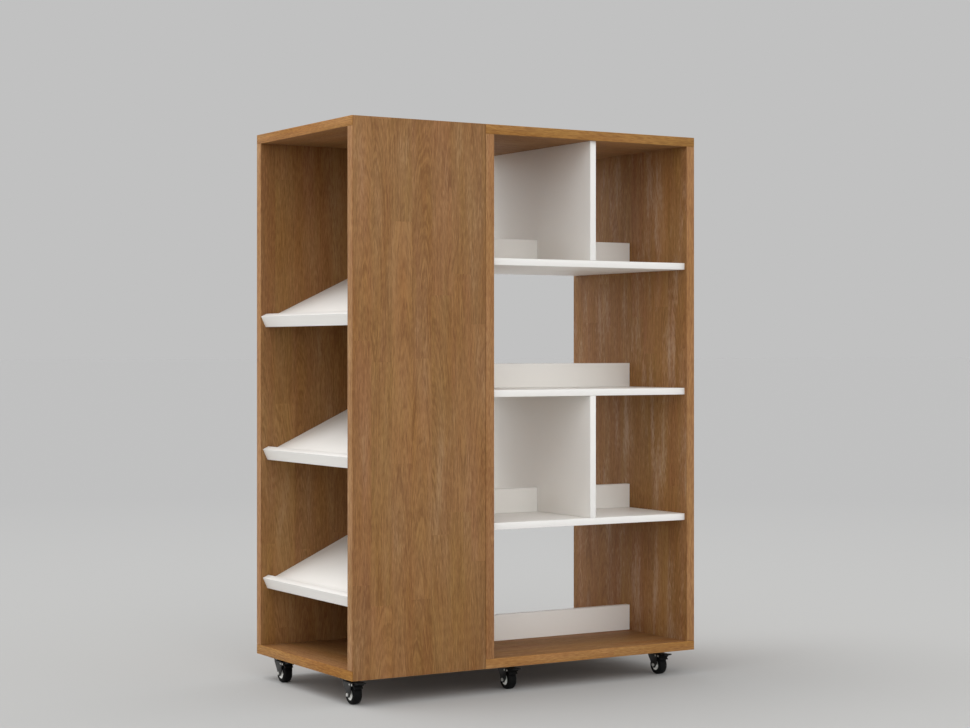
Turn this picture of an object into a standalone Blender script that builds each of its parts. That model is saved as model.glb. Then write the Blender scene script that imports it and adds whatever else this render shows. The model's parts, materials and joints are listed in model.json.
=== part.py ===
"""A double-sided library bookcase on six braked casters.

A display tower with sloping shelves stands at the left end. An open bookcase, used from the front and
from the rear, is bolted to it. Metres, +Z up: X runs along the unit, Y from its front to its rear. The
origin is on the floor, below the centre.
"""

import math

import bmesh
import bpy
from mathutils import Matrix, Vector

# Boards: oak-faced for the two boxes, white for what stands inside them.
OAK_BOARD = 0.025
WHITE_BOARD = 0.018
TOWER_BACK_BOARD = 0.018
EDGING = 0.002
DEPTH = 0.560

# The display tower.
TOWER_LENGTH = 0.388
DISPLAY_SLOPE = math.radians(25)
LIP_THICKNESS = 0.018
LIP_RISE = 0.014
LIP_SETBACK = 0.006
UPPER_LIP_SETBACK = 0.0006
UPPER_LIP_HEIGHT = 0.9150
MIDDLE_LIP_HEIGHT = 0.5555
LOWER_LIP_HEIGHT = 0.2071

# The bookcase: its clear bay widths and heights.
SEAM = 0.0008
LEFT_BAY_WIDTH = 0.307
RIGHT_BAY_WIDTH = 0.295
TOP_BAY = 0.320
SECOND_BAY = 0.325
THIRD_BAY = 0.327
BOTTOM_BAY = 0.332
SHELF_SETBACK = 0.010
BACKSTOP_HEIGHT = 0.067
BASE_BACKSTOP_HEIGHT = 0.0715

# Joints. Dowels are glued into a board's edge and stand out of it into the face of the next board.
FIT_GAP = 0.0003
DOWEL_DIAMETER = 0.008
DOWEL_IN_FACE = 0.010
DOWEL_IN_EDGE = 0.015
DOWEL_MARGIN = 0.060
BOLT_DIAMETER = 0.008
BOLT_HEAD_DIAMETER = 0.015
BOLT_HEAD_THICKNESS = 0.002
BOLT_MARGIN = 0.110

# The casters' swivel axes, from the front and rear, the tower's end, the seam and the right end.
CASTER_INSET = 0.080
TOWER_CASTER_INSET = 0.032
SEAM_CASTER_INSET = 0.100
RIGHT_CASTER_INSET = 0.083

# One caster.
WHEEL_RADIUS = 0.025
TREAD_WIDTH = 0.025
CORE_RADIUS = 0.014
CORE_RECESS = 0.002
TREAD_ROUND = 0.0035
HUB_RADIUS = 0.0075
HUB_STAND_OUT = 0.0015
AXLE_DIAMETER = 0.006
AXLE_HEAD_DIAMETER = 0.010
AXLE_HEAD_THICKNESS = 0.004
RUN_GAP = 0.0005
TRAIL = 0.028
LEG_THICKNESS = 0.002
LEG_END_RADIUS = 0.0078
LEG_FRONT_REACH = 0.013
LEG_HEEL_REACH = 0.012
LEG_KNEE_RISE = 0.004
LEG_SETBACK = 0.001
CROWN_CLEARANCE = 0.004
CROWN_THICKNESS = 0.003
CROWN_OVERHANG = 0.006
PRESSING_STEP = 0.0005
RACE_HEIGHT = 0.006
RACE_RADIUS = 0.017
KINGPIN_DIAMETER = 0.010
KINGPIN_HEAD_DIAMETER = 0.014
KINGPIN_HEAD_THICKNESS = 0.003
PLATE_SIDE = 0.050
PLATE_THICKNESS = 0.0025
SCREW_SPACING = 0.036
SCREW_DIAMETER = 0.004
SCREW_HEAD_DIAMETER = 0.0076
SCREW_HEAD_THICKNESS = 0.0022
SCREW_IN_BASE = 0.014
BRAKE_WIDTH = 0.024
BRAKE_PIN_DIAMETER = 0.004
BRAKE_PIN_ANGLE = math.radians(53.5)
BRAKE_PIN_CLEARANCE = 0.0086
BRAKE_BOSS_RADIUS = 0.0045
SHOE_GAP = 0.003
SHOE_LOW_ANGLE = math.radians(34)
SHOE_HIGH_ANGLE = math.radians(66)
PEDAL_REACH = 0.0445
PEDAL_RISE = 0.0337
PEDAL_THICKNESS = 0.003
RELEASE_LIP_REACH = 0.0082
RELEASE_LIP_ANGLE = math.radians(30)
RELEASE_NOTCH_ANGLE = math.radians(48.5)

# Facets of the round pieces.
WHEEL_SEGMENTS = 20
PIN_SEGMENTS = 12
DOWEL_SEGMENTS = 8
ARC_STEP = math.radians(30)
SHARP_ANGLE = math.radians(35)

# Places that follow from those sizes.
BOOKCASE_LENGTH = 2 * OAK_BOARD + LEFT_BAY_WIDTH + WHITE_BOARD + RIGHT_BAY_WIDTH
CARCASS_HEIGHT = 2 * OAK_BOARD + 3 * WHITE_BOARD + TOP_BAY + SECOND_BAY + THIRD_BAY + BOTTOM_BAY
LEFT = -(TOWER_LENGTH + SEAM + BOOKCASE_LENGTH) / 2
RIGHT = -LEFT
FRONT = -DEPTH / 2
REAR = DEPTH / 2
TOWER_RIGHT = LEFT + TOWER_LENGTH
BOOKCASE_LEFT = TOWER_RIGHT + SEAM
CROWN_LOW = 2 * WHEEL_RADIUS + CROWN_CLEARANCE
CROWN_TOP = CROWN_LOW + CROWN_THICKNESS
PLATE_LOW = CROWN_TOP + FIT_GAP + RACE_HEIGHT
PLATE_TOP = PLATE_LOW + PLATE_THICKNESS
BOTTOM = PLATE_TOP + FIT_GAP
TOP = BOTTOM + CARCASS_HEIGHT

for old in list(bpy.data.objects):
    bpy.data.objects.remove(old)


def finish(name, colour, roughness, metallic=0.0):
    """A plain Principled material."""
    material = bpy.data.materials.new(name)
    material.use_nodes = True
    shader = material.node_tree.nodes["Principled BSDF"]
    shader.inputs["Base Color"].default_value = (*colour, 1.0)
    shader.inputs["Roughness"].default_value = roughness
    shader.inputs["Metallic"].default_value = metallic
    return material


OAK = finish("oak_face", (0.26, 0.14, 0.065), 0.5)
OAK_EDGE = finish("oak_edging", (0.42, 0.23, 0.09), 0.5)
WHITE = finish("white_melamine", (0.80, 0.80, 0.78), 0.4)
BLACK_STEEL = finish("black_steel", (0.02, 0.02, 0.02), 0.4, 0.6)
ZINC = finish("zinc_plate", (0.60, 0.60, 0.58), 0.3, 1.0)
WHEEL_RUBBER = finish("wheel_rubber", (0.03, 0.03, 0.03), 0.7)
BRAKE_BLACK = finish("brake_black", (0.025, 0.025, 0.025), 0.5)

unit = bpy.data.objects.new("double_sided_bookcase", None)
bpy.context.scene.collection.objects.link(unit)


def made(name, mesh, material, parent=unit, location=(0, 0, 0), rotation=(0, 0, 0)):
    """A named object of this mesh under its parent."""
    piece = bpy.data.objects.new(name, mesh)
    if not mesh.materials:
        mesh.materials.append(material)
    piece.parent = parent
    piece.location = location
    piece.rotation_euler = rotation
    bpy.context.scene.collection.objects.link(piece)
    return piece


def mesh_of(name, shape):
    """The bmesh as a mesh, with its faces pointing out and its round faces smooth."""
    bmesh.ops.recalc_face_normals(shape, faces=shape.faces)
    mesh = bpy.data.meshes.new(name)
    shape.to_mesh(mesh)
    shape.free()
    mesh.shade_smooth()
    mesh.set_sharp_from_angle(angle=SHARP_ANGLE)
    return mesh


def add_box(shape, size, centre=(0, 0, 0)):
    place = Matrix.Translation(centre) @ Matrix.Diagonal((*size, 1))
    bmesh.ops.create_cube(shape, size=1, matrix=place)


def add_turned(shape, profile, segments, place, bored=False):
    """A turned solid from (radius, height) points up its side; a bored profile closes on itself."""
    rings = []
    for radius, height in profile:
        ring = []
        for step in range(segments):
            angle = (step + 0.5) * 2 * math.pi / segments
            point = Vector((radius * math.cos(angle), radius * math.sin(angle), height))
            ring.append(shape.verts.new(place @ point))
        rings.append(ring)
    pairs = list(zip(rings, rings[1:]))
    if bored:
        pairs.append((rings[-1], rings[0]))
    else:
        shape.faces.new(rings[0])
        shape.faces.new(rings[-1])
    for low, high in pairs:
        for step in range(segments):
            after = (step + 1) % segments
            shape.faces.new((low[step], low[after], high[after], high[step]))


def add_prism(shape, outline, low, high, place):
    """A flat outline drawn out from low to high along the local Z."""
    base = [shape.verts.new(place @ Vector((x, y, low))) for x, y in outline]
    cap = [shape.verts.new(place @ Vector((x, y, high))) for x, y in outline]
    shape.faces.new(base)
    shape.faces.new(cap)
    for step in range(len(outline)):
        after = (step + 1) % len(outline)
        shape.faces.new((base[step], base[after], cap[after], cap[step]))


def along(start, direction):
    """A frame at start whose local Z points in the direction."""
    turn = Vector((0, 0, 1)).rotation_difference(Vector(direction))
    return Matrix.Translation(start) @ turn.to_matrix().to_4x4()


def apply_boolean(piece, tool_shape, operation):
    """Joins the tool's solids to the piece, or cuts them out of it. The tool is drawn in world space."""
    tool = made("tool", mesh_of("tool", tool_shape), piece.data.materials[0], parent=None)
    tool.hide_render = True
    tool.display_type = "WIRE"
    step = piece.modifiers.new(operation, "BOOLEAN")
    step.operation = operation
    step.object = tool
    view = bpy.context.evaluated_depsgraph_get()
    mesh = bpy.data.meshes.new_from_object(piece.evaluated_get(view))
    piece.modifiers.clear()
    piece.data = mesh
    bpy.data.objects.remove(tool)


# Round tools that each board waits for: dowels and bolts to join to it, and holes to cut into it.
joined = {}
holes = {}


def board(name, x, y, z, material):
    """A flat board between these low and high places."""
    spans = (x, y, z)
    size = [high - low for low, high in spans]
    centre = [(low + high) / 2 for low, high in spans]
    shape = bmesh.new()
    add_box(shape, size)
    piece = made(name, mesh_of(name, shape), material, location=centre)
    joined[piece] = []
    holes[piece] = []
    return piece


def sloping_board(name, size, centre, material):
    """A board that rises towards +X at the display slope."""
    shape = bmesh.new()
    add_box(shape, size)
    piece = made(name, mesh_of(name, shape), material, location=centre, rotation=(0, -DISPLAY_SLOPE, 0))
    joined[piece] = []
    holes[piece] = []
    return piece


def dowel(edge_board, face_board, point, direction):
    """A dowel glued into an edge, and its hole in the face that the edge meets at this point."""
    radius = DOWEL_DIAMETER / 2
    stud = [(radius, -DOWEL_IN_EDGE), (radius, FIT_GAP + DOWEL_IN_FACE)]
    hole_radius = radius + FIT_GAP
    hole = [(hole_radius, -FIT_GAP), (hole_radius, 2 * FIT_GAP + DOWEL_IN_FACE)]
    place = along(point, direction)
    joined[edge_board].append((stud, place))
    holes[face_board].append((hole, place))


def with_margin(low, high):
    """The two dowel places along a joint."""
    return low + DOWEL_MARGIN, high - DOWEL_MARGIN


def inside(low, high):
    """A span less the gap that touching pieces keep at both ends."""
    return low + FIT_GAP, high - FIT_GAP


def edging_frame(name, size, opening, centre):
    """Four edging strips round an opening, as one frame."""
    shape = bmesh.new()
    add_box(shape, size)
    piece = made(name, mesh_of(name, shape), OAK_EDGE, location=centre)
    cutter = bmesh.new()
    add_box(cutter, opening, centre)
    apply_boolean(piece, cutter, "DIFFERENCE")


# The display tower's box: full-height sides at the front and rear, the top, base and back between them.
tower_x = (LEFT + EDGING + FIT_GAP, TOWER_RIGHT)
tower_y = inside(FRONT + OAK_BOARD, REAR - OAK_BOARD)
base_z = (BOTTOM, BOTTOM + OAK_BOARD)
top_z = (TOP - OAK_BOARD, TOP)
full_z = (BOTTOM, TOP)
inner_z = (BOTTOM + OAK_BOARD, TOP - OAK_BOARD)
tower_back_x = (TOWER_RIGHT - TOWER_BACK_BOARD, TOWER_RIGHT)

tower_front_side = board("tower_front_side", tower_x, (FRONT, FRONT + OAK_BOARD), full_z, OAK)
tower_rear_side = board("tower_rear_side", tower_x, (REAR - OAK_BOARD, REAR), full_z, OAK)
tower_top = board("tower_top", tower_x, tower_y, top_z, OAK)
tower_base = board("tower_base", tower_x, tower_y, base_z, OAK)
tower_back = board("tower_back", tower_back_x, tower_y, inside(*inner_z), OAK)
tower_ends = ((tower_front_side, tower_y[0], (0, -1, 0)), (tower_rear_side, tower_y[1], (0, 1, 0)))

for side, y, outward in tower_ends:
    for x in with_margin(*tower_x):
        dowel(tower_top, side, (x, y, sum(top_z) / 2), outward)
        dowel(tower_base, side, (x, y, sum(base_z) / 2), outward)
    for z in with_margin(*inner_z):
        dowel(tower_back, side, (sum(tower_back_x) / 2, y, z), outward)

edging_frame(
    "tower_edging",
    (EDGING, DEPTH, CARCASS_HEIGHT),
    (2 * EDGING, DEPTH - 2 * OAK_BOARD, CARCASS_HEIGHT - 2 * OAK_BOARD),
    (LEFT + EDGING / 2, 0, sum(full_z) / 2),
)

# The sloping display shelves, low at the open end, each with its lip doweled to the low edge.
uphill = Vector((math.cos(DISPLAY_SLOPE), 0, math.sin(DISPLAY_SLOPE)))
square = Vector((-math.sin(DISPLAY_SLOPE), 0, math.cos(DISPLAY_SLOPE)))
display_width = tower_y[1] - tower_y[0]
lip_height = WHITE_BOARD + LIP_RISE
rear_edges = []


def display_shelf(level, height, setback):
    """One sloping shelf and its lip, from the height of the lip's outer top edge and how far it is set in."""
    lip_corner = Vector((LEFT + setback, 0, BOTTOM + height))
    low_edge = lip_corner + uphill * (LIP_THICKNESS + FIT_GAP) - square * (LIP_RISE + WHITE_BOARD / 2)
    room = tower_back_x[0] - FIT_GAP - low_edge.x - WHITE_BOARD / 2 * math.sin(DISPLAY_SLOPE)
    length = room / math.cos(DISPLAY_SLOPE)
    middle = low_edge + uphill * length / 2
    shelf = sloping_board(f"display_shelf_{level}", (length, display_width, WHITE_BOARD), middle, WHITE)
    lip_middle = lip_corner + uphill * LIP_THICKNESS / 2 - square * lip_height / 2
    lip_size = (LIP_THICKNESS, display_width, lip_height)
    lip = sloping_board(f"display_lip_{level}", lip_size, lip_middle, WHITE)
    for side, y, outward in tower_ends:
        for distance in with_margin(0, length):
            point = low_edge + uphill * distance
            dowel(shelf, side, (point.x, y, point.z), outward)
    for y in with_margin(*tower_y):
        dowel(shelf, lip, (low_edge.x, y, low_edge.z), -uphill)
    rear_edges.append((low_edge + uphill * length).z)


display_shelf("lower", LOWER_LIP_HEIGHT, LIP_SETBACK)
display_shelf("middle", MIDDLE_LIP_HEIGHT, LIP_SETBACK)
display_shelf("upper", UPPER_LIP_HEIGHT, UPPER_LIP_SETBACK)

# The open bookcase's box: full-height sides, with the top, base and shelves between them.
left_side_x = (BOOKCASE_LEFT, BOOKCASE_LEFT + OAK_BOARD)
right_side_x = (RIGHT - OAK_BOARD, RIGHT)
box_x = (left_side_x[1], right_side_x[0])
box_y = (FRONT + EDGING + FIT_GAP, REAR - EDGING - FIT_GAP)
shelf_y = (FRONT + SHELF_SETBACK, REAR - SHELF_SETBACK)

bookcase_left_side = board("bookcase_left_side", left_side_x, box_y, full_z, OAK)
bookcase_right_side = board("bookcase_right_side", right_side_x, box_y, full_z, OAK)
bookcase_ends = ((bookcase_left_side, box_x[0], (-1, 0, 0)), (bookcase_right_side, box_x[1], (1, 0, 0)))


def level_board(name, y, low, thickness, material):
    """A board doweled between the two sides."""
    piece = board(name, inside(*box_x), y, (low, low + thickness), material)
    for side, x, outward in bookcase_ends:
        inner_x = x - outward[0] * FIT_GAP
        for dowel_y in with_margin(*y):
            dowel(piece, side, (inner_x, dowel_y, low + thickness / 2), outward)
    return piece


lower_z = inner_z[0] + BOTTOM_BAY
middle_z = lower_z + WHITE_BOARD + THIRD_BAY
upper_z = middle_z + WHITE_BOARD + SECOND_BAY
bookcase_base = level_board("bookcase_base", box_y, BOTTOM, OAK_BOARD, OAK)
bookcase_top = level_board("bookcase_top", box_y, top_z[0], OAK_BOARD, OAK)
shelf_lower = level_board("shelf_lower", shelf_y, lower_z, WHITE_BOARD, WHITE)
shelf_middle = level_board("shelf_middle", shelf_y, middle_z, WHITE_BOARD, WHITE)
shelf_upper = level_board("shelf_upper", shelf_y, upper_z, WHITE_BOARD, WHITE)

for name, edge_y in (("front_edging", FRONT + EDGING / 2), ("rear_edging", REAR - EDGING / 2)):
    edging_frame(
        name,
        (BOOKCASE_LENGTH, EDGING, CARCASS_HEIGHT),
        (BOOKCASE_LENGTH - 2 * OAK_BOARD, 2 * EDGING, CARCASS_HEIGHT - 2 * OAK_BOARD),
        ((BOOKCASE_LEFT + RIGHT) / 2, edge_y, sum(full_z) / 2),
    )

# The dividers of the top and third bays, doweled into the boards above and below.
divider_x = (box_x[0] + LEFT_BAY_WIDTH, box_x[0] + LEFT_BAY_WIDTH + WHITE_BOARD)


def divider(name, below, above, low, clear_height):
    z = inside(low, low + clear_height)
    piece = board(name, divider_x, shelf_y, z, WHITE)
    for y in with_margin(*shelf_y):
        dowel(piece, below, (sum(divider_x) / 2, y, z[0]), (0, 0, -1))
        dowel(piece, above, (sum(divider_x) / 2, y, z[1]), (0, 0, 1))


divider("divider_upper", shelf_upper, bookcase_top, upper_z + WHITE_BOARD, TOP_BAY)
divider("divider_lower", shelf_lower, shelf_middle, lower_z + WHITE_BOARD, THIRD_BAY)

# The backstops at mid-depth, doweled into the board that they stand on.
backstop_y = (-WHITE_BOARD / 2, WHITE_BOARD / 2)
left_bay_x = (box_x[0], divider_x[0])
right_bay_x = (divider_x[1], box_x[1])


def backstop(name, below, x, low, height):
    span = inside(*x)
    foot = low + FIT_GAP
    piece = board(name, span, backstop_y, (foot, low + height), WHITE)
    for dowel_x in with_margin(*span):
        dowel(piece, below, (dowel_x, 0, foot), (0, 0, -1))


backstop("backstop_top_left", shelf_upper, left_bay_x, upper_z + WHITE_BOARD, BACKSTOP_HEIGHT)
backstop("backstop_top_right", shelf_upper, right_bay_x, upper_z + WHITE_BOARD, BACKSTOP_HEIGHT)
backstop("backstop_second", shelf_middle, box_x, middle_z + WHITE_BOARD, BACKSTOP_HEIGHT)
backstop("backstop_third_left", shelf_lower, left_bay_x, lower_z + WHITE_BOARD, BACKSTOP_HEIGHT)
backstop("backstop_third_right", shelf_lower, right_bay_x, lower_z + WHITE_BOARD, BACKSTOP_HEIGHT)
backstop("backstop_bottom", bookcase_base, box_x, inner_z[0], BASE_BACKSTOP_HEIGHT)

# Connector bolts from the tower's back through the bookcase's left side, clear of the display shelves.
bolt_heights = (
    (inner_z[0] + rear_edges[0]) / 2,
    (rear_edges[1] + rear_edges[2]) / 2,
    (rear_edges[2] + inner_z[1]) / 2,
)
bolt_radius = BOLT_DIAMETER / 2
bolt_head_radius = BOLT_HEAD_DIAMETER / 2
bolt_grip = left_side_x[1] + FIT_GAP - tower_back_x[0]
bolt_profile = [
    (bolt_head_radius, -BOLT_HEAD_THICKNESS),
    (bolt_head_radius, TOWER_BACK_BOARD / 2),
    (bolt_radius, TOWER_BACK_BOARD / 2),
    (bolt_radius, bolt_grip),
    (bolt_head_radius, bolt_grip),
    (bolt_head_radius, bolt_grip + BOLT_HEAD_THICKNESS),
]
bolt_hole = [(bolt_radius + FIT_GAP, 0), (bolt_radius + FIT_GAP, 2 * bolt_grip)]
for bolt_z in bolt_heights:
    for bolt_y in (FRONT + BOLT_MARGIN, REAR - BOLT_MARGIN):
        bolt_place = along((tower_back_x[0], bolt_y, bolt_z), (1, 0, 0))
        joined[tower_back].append((bolt_profile, bolt_place))
        holes[bookcase_left_side].append((bolt_hole, bolt_place))

# One caster, drawn round its swivel axis on the floor, with the wheel trailing towards -Y.
UPWARD = Matrix.Identity(4)
ACROSS = along((0, 0, 0), (1, 0, 0))
SIDE_ON = Matrix(((0, 0, 1, 0), (1, 0, 0, 0), (0, 1, 0, 0), (0, 0, 0, 1)))
LEG_INNER = TREAD_WIDTH / 2 + HUB_STAND_OUT + RUN_GAP
LEG_OUTER = LEG_INNER + LEG_THICKNESS
CROWN_HALF_WIDTH = LEG_OUTER - PRESSING_STEP
PIN_DISTANCE = WHEEL_RADIUS + BRAKE_PIN_CLEARANCE
axle_place = Vector((0, -TRAIL, WHEEL_RADIUS))
pin_place = Vector((0, -PIN_DISTANCE * math.cos(BRAKE_PIN_ANGLE), PIN_DISTANCE * math.sin(BRAKE_PIN_ANGLE)))


def arc(centre, radius, start, end):
    """Points of an arc in an outline, about every ARC_STEP."""
    count = max(2, round(abs(end - start) / ARC_STEP))
    points = []
    for step in range(count + 1):
        angle = start + (end - start) * step / count
        points.append((centre[0] + radius * math.cos(angle), centre[1] + radius * math.sin(angle)))
    return points


def round_tool(radius, low, high, place, segments=PIN_SEGMENTS):
    shape = bmesh.new()
    add_turned(shape, [(radius, low), (radius, high)], segments, place)
    return shape


def plate_mesh():
    """The mounting plate with its ball race, riveted kingpin and four screws, round the swivel axis."""
    shape = bmesh.new()
    add_box(shape, (PLATE_SIDE, PLATE_SIDE, PLATE_THICKNESS), (0, 0, PLATE_LOW + PLATE_THICKNESS / 2))
    piece = made("plate", mesh_of("plate", shape), BLACK_STEEL, parent=None)
    race_low = CROWN_TOP + FIT_GAP
    head_top = CROWN_LOW - FIT_GAP
    race = [
        (KINGPIN_HEAD_DIAMETER / 2, head_top - KINGPIN_HEAD_THICKNESS),
        (KINGPIN_HEAD_DIAMETER / 2, head_top),
        (KINGPIN_DIAMETER / 2, head_top),
        (KINGPIN_DIAMETER / 2, race_low),
        (CROWN_HALF_WIDTH, race_low),
        (RACE_RADIUS, race_low + RACE_HEIGHT / 2),
        (RACE_RADIUS, PLATE_LOW + PLATE_THICKNESS / 2),
    ]
    screw = [
        (SCREW_HEAD_DIAMETER / 2, PLATE_LOW - SCREW_HEAD_THICKNESS),
        (SCREW_HEAD_DIAMETER / 2, PLATE_LOW + PLATE_THICKNESS / 2),
        (SCREW_DIAMETER / 2, PLATE_LOW + PLATE_THICKNESS / 2),
        (SCREW_DIAMETER / 2, BOTTOM + SCREW_IN_BASE),
    ]
    extras = bmesh.new()
    add_turned(extras, race, PIN_SEGMENTS, UPWARD)
    for x, y in screw_places(0, 0):
        add_turned(extras, screw, DOWEL_SEGMENTS, Matrix.Translation((x, y, 0)))
    apply_boolean(piece, extras, "UNION")
    return taken(piece)


def screw_places(x, y):
    half = SCREW_SPACING / 2
    return [(x + dx, y + dy) for dx in (-half, half) for dy in (-half, half)]


def taken(piece):
    """A finished mesh, without the object that it was made on."""
    mesh = piece.data
    bpy.data.objects.remove(piece)
    mesh.shade_smooth()
    mesh.set_sharp_from_angle(angle=SHARP_ANGLE)
    return mesh


def fork_mesh():
    """The pressed fork round the swivel axis: a crown under the race and two legs down to the axle."""
    axle = (axle_place.y, axle_place.z)
    pin = (axle_place.y + pin_place.y, axle_place.z + pin_place.z)
    leg_top = CROWN_TOP - PRESSING_STEP
    leg = [(LEG_SETBACK, leg_top), (LEG_SETBACK, CROWN_LOW - PRESSING_STEP)]
    leg.append((axle[0] + LEG_HEEL_REACH, axle[1] + LEG_KNEE_RISE))
    leg += reversed(arc(axle, LEG_END_RADIUS, math.radians(230), math.radians(310)))
    leg.append((axle[0] - LEG_FRONT_REACH, axle[1] + LEG_KNEE_RISE))
    leg.append((axle[0] - LEG_FRONT_REACH, pin[1] - BRAKE_BOSS_RADIUS))
    leg += reversed(arc(pin, BRAKE_BOSS_RADIUS, math.radians(90), math.radians(270)))
    crown_front = axle[0] - CROWN_OVERHANG
    crown = [(CROWN_HALF_WIDTH, crown_front)]
    crown += arc((0, 0), CROWN_HALF_WIDTH, 0, math.pi)
    crown.append((-CROWN_HALF_WIDTH, crown_front))

    shape = bmesh.new()
    add_prism(shape, crown, CROWN_LOW, CROWN_TOP, UPWARD)
    piece = made("fork", mesh_of("fork", shape), BLACK_STEEL, parent=None)
    legs = bmesh.new()
    add_prism(legs, leg, LEG_INNER, LEG_OUTER, SIDE_ON)
    add_prism(legs, leg, -LEG_OUTER, -LEG_INNER, SIDE_ON)
    apply_boolean(piece, legs, "UNION")
    apply_boolean(piece, round_tool(KINGPIN_DIAMETER / 2 + RUN_GAP, 0, PLATE_TOP, UPWARD), "DIFFERENCE")
    for centre, diameter in ((axle_place, AXLE_DIAMETER), (axle_place + pin_place, BRAKE_PIN_DIAMETER)):
        place = along(centre, (1, 0, 0))
        cutter = round_tool(diameter / 2 + FIT_GAP, -2 * LEG_OUTER, 2 * LEG_OUTER, place)
        apply_boolean(piece, cutter, "DIFFERENCE")
    return taken(piece)


def axle_mesh():
    """The axle bolt with its head and nut outside the legs, round its own axis."""
    head = AXLE_HEAD_DIAMETER / 2
    shank = AXLE_DIAMETER / 2
    grip = LEG_OUTER + FIT_GAP
    end = grip + AXLE_HEAD_THICKNESS
    profile = [(head, -end), (head, -grip), (shank, -grip), (shank, grip), (head, grip), (head, end)]
    shape = bmesh.new()
    add_turned(shape, profile, PIN_SEGMENTS, ACROSS)
    return mesh_of("axle", shape)


def wheel_mesh():
    """The wheel round its axle: a core with the tread moulded onto it, flats tangent to its true radius."""
    bore = AXLE_DIAMETER / 2 + RUN_GAP
    hub = TREAD_WIDTH / 2 + HUB_STAND_OUT
    tread = TREAD_WIDTH / 2
    core = tread - CORE_RECESS
    half = [
        (bore, hub),
        (HUB_RADIUS, hub),
        (HUB_RADIUS, core),
        (CORE_RADIUS, core),
        (CORE_RADIUS + CORE_RECESS / 2, tread),
        (WHEEL_RADIUS - TREAD_ROUND, tread),
        (WHEEL_RADIUS, tread - TREAD_ROUND),
    ]
    corner = 1 / math.cos(math.pi / WHEEL_SEGMENTS)
    right = [(radius * corner, x) for radius, x in half]
    left = [(radius, -x) for radius, x in reversed(right)]
    shape = bmesh.new()
    add_turned(shape, right + left, WHEEL_SEGMENTS, ACROSS, bored=True)
    return mesh_of("wheel", shape)


def brake_mesh():
    """The brake lever round its pin: a pedal, a notch, a release lip and a shoe round the tread."""

    def from_axle(radius, angle):
        return -radius * math.cos(angle) - pin_place.y, radius * math.sin(angle) - pin_place.z

    shoe_radius = WHEEL_RADIUS + SHOE_GAP
    axle = (-pin_place.y, -pin_place.z)
    outline = arc(axle, shoe_radius, math.pi - SHOE_HIGH_ANGLE, math.pi - SHOE_LOW_ANGLE)
    lip_radius = WHEEL_RADIUS + RELEASE_LIP_REACH
    outline.append(from_axle(lip_radius, RELEASE_LIP_ANGLE))
    outline.append(from_axle(lip_radius, RELEASE_NOTCH_ANGLE))
    pedal_end = -PEDAL_REACH - pin_place.y
    pedal_top = PEDAL_RISE - pin_place.z
    outline.append((pedal_end, pedal_top - PEDAL_THICKNESS))
    outline.append((pedal_end, pedal_top))
    outline.append((outline[0][0] - PEDAL_THICKNESS, BRAKE_BOSS_RADIUS))

    shape = bmesh.new()
    add_prism(shape, outline, -BRAKE_WIDTH / 2, BRAKE_WIDTH / 2, SIDE_ON)
    piece = made("brake", mesh_of("brake", shape), BRAKE_BLACK, parent=None)
    apply_boolean(piece, round_tool(BRAKE_PIN_DIAMETER / 2, -LEG_OUTER, LEG_OUTER, ACROSS), "UNION")
    return taken(piece)


plate = plate_mesh()
fork = fork_mesh()
axle = axle_mesh()
wheel = wheel_mesh()
brake = brake_mesh()
caster_columns = (
    ("left", LEFT + TOWER_CASTER_INSET, tower_base),
    ("middle", BOOKCASE_LEFT + SEAM_CASTER_INSET, bookcase_base),
    ("right", RIGHT - RIGHT_CASTER_INSET, bookcase_base),
)
pilot_radius = SCREW_DIAMETER / 2 + FIT_GAP
pilot_hole = [(pilot_radius, -FIT_GAP), (pilot_radius, SCREW_IN_BASE + FIT_GAP)]
for row, caster_y in (("front", FRONT + CASTER_INSET), ("rear", REAR - CASTER_INSET)):
    for column, caster_x, base in caster_columns:
        name = f"caster_{row}_{column}"
        swivel = bpy.data.objects.new(name, None)
        swivel.parent = unit
        swivel.location = (caster_x, caster_y, 0)
        bpy.context.scene.collection.objects.link(swivel)
        made(f"{name}_plate", plate, BLACK_STEEL, parent=swivel)
        fork_piece = made(f"{name}_fork", fork, BLACK_STEEL, parent=swivel)
        made(f"{name}_axle", axle, ZINC, parent=fork_piece, location=axle_place)
        made(f"{name}_wheel", wheel, WHEEL_RUBBER, parent=fork_piece, location=axle_place)
        made(f"{name}_brake", brake, BRAKE_BLACK, parent=fork_piece, location=axle_place + pin_place)
        for screw_x, screw_y in screw_places(caster_x, caster_y):
            holes[base].append((pilot_hole, Matrix.Translation((screw_x, screw_y, BOTTOM))))

# Every dowel, bolt and hole is worked into its board.
bpy.context.view_layer.update()
for operation, tools in (("UNION", joined), ("DIFFERENCE", holes)):
    for piece, profiles in tools.items():
        if profiles:
            tool_shape = bmesh.new()
            for profile, place in profiles:
                add_turned(tool_shape, profile, DOWEL_SEGMENTS, place)
            apply_boolean(piece, tool_shape, operation)
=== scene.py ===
"""The looks of a double-sided library bookcase on casters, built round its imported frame. Metres, +Z up."""

import json
import math

import bmesh
import bpy
from mathutils import Matrix, Vector


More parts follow.
